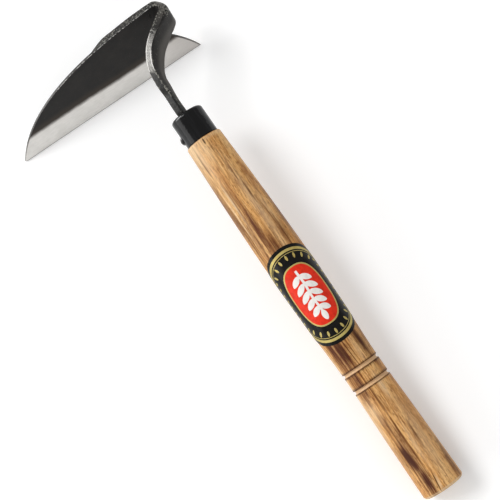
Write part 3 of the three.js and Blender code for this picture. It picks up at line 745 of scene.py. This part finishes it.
class SICKLE_OT_blade(bpy.types.Operator):
    """Cuts the blade's plate, grinds its bevel and breaks the arris along its spine"""
    bl_idname = "sickle.blade"
    bl_label = "Blade"

    def outline(self):
        def curve(points, steps):
            return [bezier(points, i / steps) for i in range(1, steps + 1)]
        throat = (FOLD_AT - 5.3, ROOT_LOW - 5)
        places = [Vector((TIP_AT + TIP_RADIUS, 0))]
        places += curve(((TIP_AT + TIP_RADIUS, 0), (TIP_AT, 0), SPINE[0]), 6)
        places += curve(SPINE, 72)
        places += [Vector((FOLD_AT, ROOT_LOW)), Vector((throat[0] + 2, ROOT_LOW))]
        places += curve(((throat[0] + 2, ROOT_LOW), (throat[0] - 2, ROOT_LOW), throat), 6)
        places += curve((throat, (HEEL_AT - 5.3, 14.2), (HEEL_AT, 0)), 36)
        return places

    def execute(self, context):
        steel_look = context.scene.sickle_steel
        arris = steel_look.arris / MM
        bm = bmesh.new()
        front = bm.faces.new([bm.verts.new((p.x, p.y, 0)) for p in self.outline()])
        grown = bmesh.ops.extrude_face_region(bm, geom=[front], use_keep_orig=True)["geom"]
        bmesh.ops.translate(bm, vec=(0, 0, -STEEL_TOP), verts=only(BMVert, grown))
        cut_along(bm, (0, STEEL_WIDTH, 0), (0, 1, 0))
        back = [f for f in bm.faces if all(v.co.z < -STEEL_TOP + 0.01 and v.co.y > STEEL_WIDTH - 0.01 for v in f.verts)]
        grown = bmesh.ops.extrude_face_region(bm, geom=back)["geom"]
        bmesh.ops.translate(bm, vec=(0, 0, STEEL_TOP - PLATE), verts=only(BMVert, grown))
        bevel = Vector((0, -BEVEL_FALL, 1)).normalized()
        rim = only(BMEdge, cut_along(bm, (0, BEVEL_WIDTH, 0), bevel, clear_outer=True))
        bmesh.ops.holes_fill(bm, edges=[e for e in rim if e.is_boundary])
        bmesh.ops.remove_doubles(bm, verts=bm.verts, dist=1e-4)
        bmesh.ops.recalc_face_normals(bm, faces=bm.faces)
        bm.normal_update()
        for face in bm.faces:
            face.material_index = 0 if face.normal.z > 0.9 else 1
        spine = [e for e in bm.edges if all(abs(v.co.z) < 0.01 and v.co.y > 3 for v in e.verts)
                 and abs(e.calc_face_angle(0)) > 1 and self.on_spine(e)]
        broken = bmesh.ops.bevel(bm, geom=spine, offset=arris, segments=2, profile=0.5, affect="EDGES", material=-1)
        for face in broken["faces"]:
            face.material_index = 2
        for face in bm.faces:
            if face.material_index == 1 and abs(face.normal.z) < 0.1 and all(self.on_spine(e) for e in face.edges):
                face.material_index = 3
        for edge in bm.edges:
            if len(edge.link_faces) == 2:
                walls = all(abs(f.normal.z) < 0.5 for f in edge.link_faces)
                edge.smooth = edge.calc_face_angle(0) < math.radians(20 if walls else 2)
        bmesh.ops.transform(bm, matrix=BLADE, verts=bm.verts)
        # The spine wall's grey is partly wear and partly painted light, laid evenly near the tip
        materials = [blade_front_finish(), scale_finish("blade_scale"),
                     wear_and_painted_light_finish("spine_arris", 0.47, 0.56, 0.1, steel_look.worn),
                     wear_and_painted_light_finish("spine_wall", 0.5, 0.7, 0.8, tint("605E5A"))]
        make_piece(bm, "blade_plate", "blade_forging", materials, sharp=0)
        steel = frame["nodes"]["edge_steel"]
        steel.data.materials.clear()
        steel.data.materials.append(ground_finish("edge_ground"))
        return {"FINISHED"}

    def on_spine(self, edge):
        middle = (edge.verts[0].co + edge.verts[1].co) / 2
        return middle.x < FOLD_AT - 1 and middle.y > spine_height(middle.x) - 1.5


class SICKLE_OT_neck(bpy.types.Operator):
    """Draws the neck out of the blade: the bar, the fold, the strap, the rod and the tang"""
    bl_idname = "sickle.neck"
    bl_label = "Neck"

    def section(self, upper, lower, outward, thickness, drop, rounds, worn, flecks, bright=0.0, painted_light_and_shade=0.0, top=0.0):
        """One section of the neck: its corners, their rounding, the finish of its arrises and faces, and the light and
        shade painted on its faces
        """
        up = (upper - lower).normalized()
        corners = (upper, lower, lower + outward * thickness, upper + outward * thickness - up * drop)
        return corners, rounds, worn, (0.15, 0.15, *flecks), bright, painted_light_and_shade, top

    def bar(self):
        steps = 50
        made = []
        inward = BLADE.to_3x3() @ Vector((0, 0, -1))
        for i in range(steps):
            along = blend(-26, FOLD_AT, i / steps)
            gain = math.sin(math.pi / 2 * min(1, max(0, (along + 25.5) / 13.5)))
            thickness = 1.5 + gain * blend(4.2, 3.5, smooth((along - 8) / 16))
            start = min(1, (along + 26) / 1.5)
            top = spine_height(along) + blend(-0.4, 0.06, start)
            sunk = blend(blend(-0.45, -0.25, start), 0.02, smooth((along - 14) / 5))
            width = blend(9, 17, i / steps)
            upper, lower = on_blade(along, top, sunk), on_blade(along, top - width, sunk)
            rounds = (0.2 + 0.3 * gain, 0.5, 0.6, 0.3 + 0.9 * gain)
            worn = (0.74, 0.3, 0.3, 0.6)
            made.append(self.section(upper, lower, inward, thickness + sunk, 0, rounds, worn, (0.15, 0.66)))
        return made

    def fold(self):
        steps = 30
        made = []
        for i in range(steps + 1):
            share = i / steps
            angle = FOLD_TURN * share
            along = FOLD_AT + FOLD_RADIUS * math.sin(angle)
            out = FOLD_RADIUS * (1 - math.cos(angle))
            outward = BLADE.to_3x3() @ Vector((math.sin(angle), 0, -math.cos(angle)))
            drop = FOLD_DROP * smooth(share / 0.5)
            rounds = (0.5, 0.5, 0.6, blend(1.2, 3.0, smooth(share / 0.6)))
            upper, lower = on_blade(along, TOP + 0.04, out), on_blade(along, ROOT_LOW, out)
            worn = (0.8, 0.3, 0.3, 0.72)
            # Painted light on the fold's outer face and on its upper face
            painted_light_and_shade, top = smooth(share * 1.4), 0.7 * smooth(share * 3)
            made.append(self.section(upper, lower, outward, STRAP, drop, rounds, worn, (0.15, 0.6), 0, painted_light_and_shade, top))
        return made

    def rod_corners(self, along, width, thickness):
        up = Vector((0, -math.sin(ROD_TURN), math.cos(ROD_TURN)))
        out = Vector((0, math.cos(ROD_TURN), math.sin(ROD_TURN)))
        middle = Vector((along, -ROD_ASIDE, 0)) - out * thickness / 2
        return middle + up * width / 2, middle - up * width / 2, out

    def strap(self):
        steps = 66
        run = BLADE.to_3x3() @ Vector((math.cos(FOLD_TURN), 0, math.sin(FOLD_TURN)))
        along = FOLD_AT + FOLD_RADIUS * math.sin(FOLD_TURN)
        out = FOLD_RADIUS * (1 - math.cos(FOLD_TURN))
        ends = self.rod_corners(-ROD_LENGTH, ROD_WIDTH, ROD_THICKNESS)
        rails = []
        for height, lead, end, draw in ((TOP, UPPER_LEAD, ends[0], UPPER_DRAW),
                                        (ROOT_LOW, LOWER_LEAD, ends[1], LOWER_DRAW)):
            start = on_blade(along, height, out)
            rails.append((start, start + run * lead, end - Vector((draw, 0, 0)), end))
        made = []
        for i in range(1, steps + 1):
            share = i / steps
            upper, lower = bezier(rails[0], share), bezier(rails[1], share)
            ahead = heading(rails[0], share) + heading(rails[1], share)
            outward = (upper - lower).cross(ahead).normalized()
            upper = upper + (upper - lower).normalized() * UPPER_GAIN * smooth((share - 0.6) / 0.3)
            drop = FOLD_DROP * (1 - smooth(share / 0.5))
            lower = lower - (upper - lower).normalized() * LOWER_GAIN * smooth((share - 0.45) / 0.3)
            bright = smooth((share - 0.2) / 0.3) * smooth((0.9 - share) / 0.09)
            rounds = (0.5, 0.5, 0.6, blend(3.0, 0.5, smooth(share / 0.28)))
            bared = 0.7 * (1 - smooth(share / 0.25)) + 0.8 * smooth((share - 0.45) / 0.2)
            mottle = 0.6 * (1 - smooth((share - 0.35) / 0.15))
            # Painted light on the strap's outer face and on its upper face near the fold; painted shade on its upper
            # face near the rod
            painted_light_and_shade = 1.0 + 0.3 * smooth(share / 0.6)
            top = 0.7 * (1 - smooth(share / 0.4)) - 0.6 * smooth((share - 0.86) / 0.1)
            thickness = blend(STRAP, ROD_THICKNESS, share)
            worn, flecks = (0.82, 0.25, 0.25, bared), (0.15, mottle)
            made.append(self.section(upper, lower, outward, thickness, drop, rounds, worn, flecks, bright, painted_light_and_shade, top))
        return made

    def rod(self):
        # The place along the handle, the width and the rounding of the corners
        spans = [(-ROD_LENGTH, ROD_WIDTH, 0.5), (-18, ROD_WIDTH, 0.9), (-11.3, ROD_WIDTH, 1.1), (0, ROD_WIDTH, 1.1),
                 (FERRULE_LENGTH, ROD_WIDTH, 0.55), (77, 2.4, 0.28), (84, 0.8, 0.14)]
        made = []
        for (start, width, arris), (end, end_width, end_arris) in zip(spans, spans[1:]):
            steps = max(2, round((end - start) / (1.3 if end < 5 else 6)))
            for i in range(1, steps + 1):
                share = i / steps
                at = blend(start, end, share)
                wide = blend(width, end_width, share)
                thick = min(ROD_THICKNESS, wide)
                upper, lower, out = self.rod_corners(at, wide, thick)
                across = (upper - lower).normalized()
                near = 0.75 * smooth((at + 17) / 10) * smooth(-at / 2.5)
                upper = upper + across * (UPPER_GAIN * smooth((-16 - at) / 6.6) + near)
                lower = lower - across * LOWER_GAIN * smooth((-9 - at) / 13.6)
                bared = 0.4 + 0.45 * smooth((-10 - at) / 9)
                rounds = [blend(arris, end_arris, share)] * 4
                rounds[0] = blend(rounds[0], min(rounds[0], 0.5), smooth(-at / 2.5))
                # Painted light on the rod's outer face; the -0.6 below is painted shade on its upper face
                painted_light_and_shade = blend(1.3, 0.7, smooth((at + 18) / 14))
                worn = (0.3, 0.3, 0.5, bared)
                made.append(self.section(upper, lower, out, thick, 0, rounds, worn, (0.5, 0.2), 0, painted_light_and_shade, -0.6))
        return made

    def ring(self, corners, rounds, worn, flecks, bright, painted_light_and_shade, top):
        """Places round a section, each with how far it is worn and ground bright, and the painted light and shade it
        carries
        """
        places = []
        for i, corner in enumerate(corners):
            size = rounds[i]
            start = corner + (corners[i - 1] - corner).normalized() * size
            end = corner + (corners[(i + 1) % 4] - corner).normalized() * size
            for k in range(5):
                t = k / 4
                place = start * (1 - t) ** 2 + corner * 2 * t * (1 - t) + end * t ** 2
                shine = bright if (i == 0 and k <= 2) or (i == 3 and k >= 3) else 0
                # A band of painted shade on the outer face beside the bright upper edge
                painted_edge_shading = -0.3 * min(1, bright * 2) if k < 3 else top
                places.append((place, worn[i], shine, painted_light_and_shade if i == 2 else painted_edge_shading if i == 3 else 0.0))
            after = corners[(i + 1) % 4]
            stop = after + (corner - after).normalized() * rounds[(i + 1) % 4]
            inside = 5 if i % 2 == 0 else 3
            for k in range(1, inside + 1):
                share = k / (inside + 1)
                painted_shading = painted_light_and_shade * (1 - 0.8 * smooth(share / 0.7)) if i == 2 else top if i == 3 else 0.0
                places.append((end.lerp(stop, share), flecks[i], bright if i == 3 else 0, painted_shading))
        return places

    def execute(self, context):
        bm = bmesh.new()
        layers = [bm.verts.layers.float.new(name) for name in ("worn", "bright", "painted_light_and_shade")]
        rings = [self.ring(*section) for section in self.bar() + self.fold() + self.strap() + self.rod()]
        first = [bm.verts.new(place[0]) for place in rings[0]]
        cap = bm.faces.new(first)
        for ring in rings[1:]:
            cap = bmesh.ops.extrude_discrete_faces(bm, faces=[cap])["faces"][0]
            for vert, (place, *finish) in zip(cap.verts, ring):
                vert.co = place
                for layer, value in zip(layers, finish):
                    vert[layer] = value
        bm.faces.new(reversed(first))
        bmesh.ops.recalc_face_normals(bm, faces=bm.faces)
        bm.normal_update()
        for vert in bm.verts:
            dent = noise.noise(vert.co * 0.16) * 0.16 + noise.noise(vert.co * 0.55) * 0.07
            vert.co -= vert.normal * max(0.0, dent + 0.06)
        make_piece(bm, "neck", "blade_forging", [neck_finish()], sharp=0, levels=1)
        return {"FINISHED"}


def round_handle(bm, thickness):
    """Gives a flat print its thickness and wraps it round the handle, at its height above the wood"""
    bm.normal_update()
    bmesh.ops.reverse_faces(bm, faces=[face for face in bm.faces if face.normal.z < 0])
    bmesh.ops.solidify(bm, geom=bm.faces, thickness=thickness)
    for vert in bm.verts:
        u, w, height = vert.co
        wood = side_radius(LABEL_AT + u)
        angle = w / wood
        vert.co = (LABEL_AT + u, (wood + height) * math.sin(angle), (wood + height) * math.cos(angle))
    bmesh.ops.recalc_face_normals(bm, faces=bm.faces)


def oval(bm, length, girth, height, rings=1, spokes=96, inner=0.0, square=2.0):
    """A flat oval, drawn inwards ring by ring to its middle or to an inner rim of even width"""
    def at(angle, half_length, half_girth):
        c, s = math.cos(angle), math.sin(angle)
        u, w = (math.copysign(abs(part) ** (2 / square), part) for part in (c, s))
        return Vector((half_length * u, half_girth * w, height))
    edge = bmesh.ops.create_circle(bm, segments=spokes, radius=1)["verts"]
    angles = [math.atan2(v.co.y, v.co.x) for v in edge]
    known = dict(zip(edge, angles))
    for vert, angle in known.items():
        vert.co = at(angle, length / 2, girth / 2)
    edges = list({e for v in edge for e in v.link_edges})
    for ring in range(1, rings + 1):
        share = ring / rings
        sizes = [half - inner * share if inner else half * (1 - share) for half in (length / 2, girth / 2)]
        made = bmesh.ops.extrude_edge_only(bm, edges=edges)["geom"]
        fresh = only(BMVert, made)
        edges = [edge for edge in only(BMEdge, made) if set(edge.verts) <= set(fresh)]
        before, known = known, {}
        for vert in fresh:
            angle = next(before[e.other_vert(vert)] for e in vert.link_edges if e.other_vert(vert) in before)
            known[vert] = angle
            vert.co = at(angle, *sizes)
    if not inner:
        bmesh.ops.remove_doubles(bm, verts=list(known), dist=1e-4)


def leaf(bm, place, angle, length, width, height):
    """A flat pointed leaf whose foot is at a place on the label"""
    verts = bmesh.ops.create_grid(bm, x_segments=12, y_segments=4, size=1)["verts"]
    turned = Matrix.Rotation(angle, 2)
    for vert in verts:
        x, y = vert.co.x, vert.co.y
        flat = turned @ Vector(((x + 1) / 2 * length, y * max(0.0, 1 - x * x) ** 0.7 * width))
        vert.co = (place[0] + flat.x, place[1] + flat.y, height)
    bmesh.ops.remove_doubles(bm, verts=verts, dist=1e-4)


def stem(bm, places, width, height):
    """A narrow flat line through a few places on the label"""
    for start, end in zip(places, places[1:]):
        start, end = Vector(start), Vector(end)
        run = end - start
        side = Vector((-run.y, run.x)).normalized() * width / 2
        steps = max(1, round(run.length / 1.5))
        for i in range(steps):
            a, b = start + run * i / steps, start + run * (i + 1) / steps
            corners = [a - side, b - side, b + side, a + side]
            bm.faces.new([bm.verts.new((c.x, c.y, height)) for c in corners])
    bmesh.ops.remove_doubles(bm, verts=bm.verts, dist=1e-4)


class SICKLE_OT_label(bpy.types.Operator):
    """Prints the label and wraps it round the handle"""
    bl_idname = "sickle.label"
    bl_label = "Label"

    def layer(self, bm, name, thickness, finish):
        round_handle(bm, thickness)
        make_piece(bm, name, "label", [finish])

    def execute(self, context):
        look = context.scene.sickle_label
        length, girth = look.length / MM, look.girth / MM
        gold = film_finish("label_gold", look.gold, tint("B49C55"), 0.34, 0.25)
        black = film_finish("label_black", look.black, tint("13110E"), 0.2)
        red = film_finish("label_red", look.red, tint("D02A14"), 0.3)
        for name, size, height, thickness, finish, shape in (
            ("label_field", (length, girth), 0.22, 0.2, black, {"rings": 22, "spokes": 144}),
            ("label_rim", (length - 4.4, girth - 4.4), 0.25, 0.05, gold, {"rings": 3, "spokes": 144, "inner": 1.7}),
            ("label_line", (length - 9.6, girth - 9.6), 0.25, 0.05, gold, {"spokes": 144, "inner": 0.35}),
            ("label_panel", (40.5, 24.2), 0.26, 0.06, red, {"rings": 10, "square": 2.5}),
            ("label_panel_edge", (42.0, 25.7), 0.27, 0.07, gold, {"inner": 0.9, "square": 2.5}),
        ):
            bm = bmesh.new()
            oval(bm, *size, height, **shape)
            self.layer(bm, name, thickness, finish)

        sprig = bmesh.new()
        stem(sprig, [(-17, 0), (-8, 0.5), (2, -0.3), (12, 0.2)], 1.5, 0.3)
        for i in range(5):
            at = -13.5 + i * 5.4
            size = 1 - 0.08 * abs(i - 1.5)
            for hand in (1, -1):
                leaf(sprig, (at, 0.2 * hand), hand * math.radians(52), 9.2 * size, 1.9, 0.3)
        leaf(sprig, (11, 0.1), 0, 7.2, 1.8, 0.3)
        self.layer(sprig, "label_sprig", 0.05, film_finish("label_white", look.white, tint("E9E5DF"), 0.34))

        marks = bmesh.new()
        for hand in (1, -1):
            for i in range(-3, 4):
                place = (hand * 24.6 * math.cos(i * 0.24), 17.5 * math.sin(i * 0.24) * 1.1)
                leaf(marks, place, math.radians(i * 14) if hand > 0 else math.radians(180 - i * 14), 3.6, 0.75, 0.28)
            for i in range(-4, 5):
                leaf(marks, (i * 4.2 - 1.0, hand * (17.6 - 0.09 * i * i)), math.radians(45 * hand), 2.6, 0.8, 0.28)
        self.layer(marks, "label_marks", 0.05, gold)
        return {"FINISHED"}


class SICKLE_OT_stage(bpy.types.Operator):
    """Sets the floor, the soft light and the camera"""
    bl_idname = "sickle.stage"
    bl_label = "Stage"

    def floor(self, look):
        bm = bmesh.new()
        bmesh.ops.create_grid(bm, x_segments=1, y_segments=1, size=60, matrix=Matrix.Translation((0, 0, -0.0002)))
        mesh = bpy.data.meshes.new("floor")
        bm.to_mesh(mesh)
        bm.free()
        floor = bpy.data.objects.new("floor", mesh)
        bpy.context.scene.collection.objects.link(floor)
        finish = Finish("pale_floor")
        finish.tree.nodes.remove(finish.shader)
        rays = finish.node("LightPath").outputs
        seen = finish.sum("MAXIMUM", rays["Is Glossy Ray"], rays["Is Transmission Ray"])
        seen = finish.sum("MAXIMUM", rays["Is Camera Ray"], seen)
        colour = finish.mix(seen, look.floor, (1.0, 1.0, 1.0))
        diffuse = finish.node("BsdfDiffuse", {"Color": colour})
        glow = finish.node("Emission", {"Color": (1.0, 1.0, 1.0), "Strength": finish.times(seen, look.glow)})
        both = finish.node("AddShader", {0: diffuse.outputs[0], 1: glow.outputs[0]})
        finish.tree.links.new(both.outputs[0], finish.tree.nodes["Material Output"].inputs["Surface"])
        mesh.materials.append(finish.material)

    def light(self, look):
        world = bpy.context.scene.world or bpy.data.worlds.new("studio")
        bpy.context.scene.world = world
        world.use_nodes = True
        tree = world.node_tree
        tree.nodes.clear()
        plain = tree.nodes.new("ShaderNodeBackground")
        plain.inputs["Strength"].default_value = look.sky
        tree.links.new(plain.outputs[0], tree.nodes.new("ShaderNodeOutputWorld").inputs["Surface"])
        # The key comes from the picture's upper left, a low side light from its left, and a third, broad
        # light lies between them for glossy faces alone
        for name, strength, width, towards in (
            ("key", look.sun, 24, (-0.95, -0.75, 1.25)),
            ("side", look.side, 40, (-0.3, -1.0, 0.3)),
            ("sheen", look.sheen, 44, (-0.75, -0.75, 0.2)),
        ):
            lamp = bpy.data.lights.new(name, "SUN")
            lamp.energy, lamp.angle = strength, math.radians(width)
            placed = bpy.data.objects.new(name, lamp)
            bpy.context.scene.collection.objects.link(placed)
            placed.rotation_euler = (LAY.to_3x3() @ Vector(towards)).to_track_quat("Z", "Y").to_euler()
            placed.visible_diffuse = name != "sheen"

    def camera(self):
        lens = bpy.data.cameras.new("camera")
        lens.lens, lens.sensor_width = 108, 36
        lens.shift_x, lens.shift_y = -0.001, 0.001
        lens.clip_start = 0.01
        camera = bpy.data.objects.new("camera", lens)
        bpy.context.scene.collection.objects.link(camera)
        right = Vector((0.567273, 0.822424, -0.042667))
        down = Vector((0.819948, -0.568874, -0.063771))
        back = Vector((0.076719, -0.00119, 0.997052))
        aim = Matrix((right, -down, back)).transposed()
        turned = (LAY.to_3x3() * (1 / MM)) @ aim
        place = LAY @ Vector((163.463, -16.087, 919.763))
        camera.matrix_world = Matrix.Translation(place) @ turned.to_4x4()
        bpy.context.scene.camera = camera

    def execute(self, context):
        look = context.scene.sickle_stage
        self.floor(look)
        self.light(look)
        self.camera()
        context.scene.view_settings.view_transform = "Standard"
        return {"FINISHED"}


class SICKLE_PT_panel(bpy.types.Panel):
    """Lists the sickle's pieces and their sizes and colours"""
    bl_label = "Weeding Sickle"
    bl_space_type = "VIEW_3D"
    bl_region_type = "UI"
    bl_category = "Sickle"

    def draw(self, context):
        for settings in GROUPS:
            box = self.layout.box()
            group = getattr(context.scene, settings)
            for name in group.bl_rna.properties.keys():
                if name not in ("rna_type", "name"):
                    box.prop(group, name)
        for operator in OPERATORS:
            self.layout.operator(operator.bl_idname)


OPERATORS = (SICKLE_OT_stage, SICKLE_OT_handle, SICKLE_OT_ferrule, SICKLE_OT_nail,
             SICKLE_OT_blade, SICKLE_OT_neck, SICKLE_OT_label)
GROUPS = {"sickle_wood": SickleWood, "sickle_steel": SickleSteel,
          "sickle_label": SickleLabel, "sickle_stage": SickleStage}


def register():
    for made in (*GROUPS.values(), *OPERATORS, SICKLE_PT_panel):
        bpy.utils.register_class(made)
    for name, group in GROUPS.items():
        setattr(bpy.types.Scene, name, PointerProperty(type=group))


def unregister():
    for name in GROUPS:
        delattr(bpy.types.Scene, name)
    for made in (SICKLE_PT_panel, *OPERATORS, *GROUPS.values()):
        bpy.utils.unregister_class(made)


def main():
    register()
    bpy.ops.sickle.stage()
    bpy.ops.sickle.handle()
    bpy.ops.sickle.ferrule()
    bpy.ops.sickle.nail()
    bpy.ops.sickle.blade()
    bpy.ops.sickle.neck()
    bpy.ops.sickle.label()


if __name__ == "__main__":
    main()
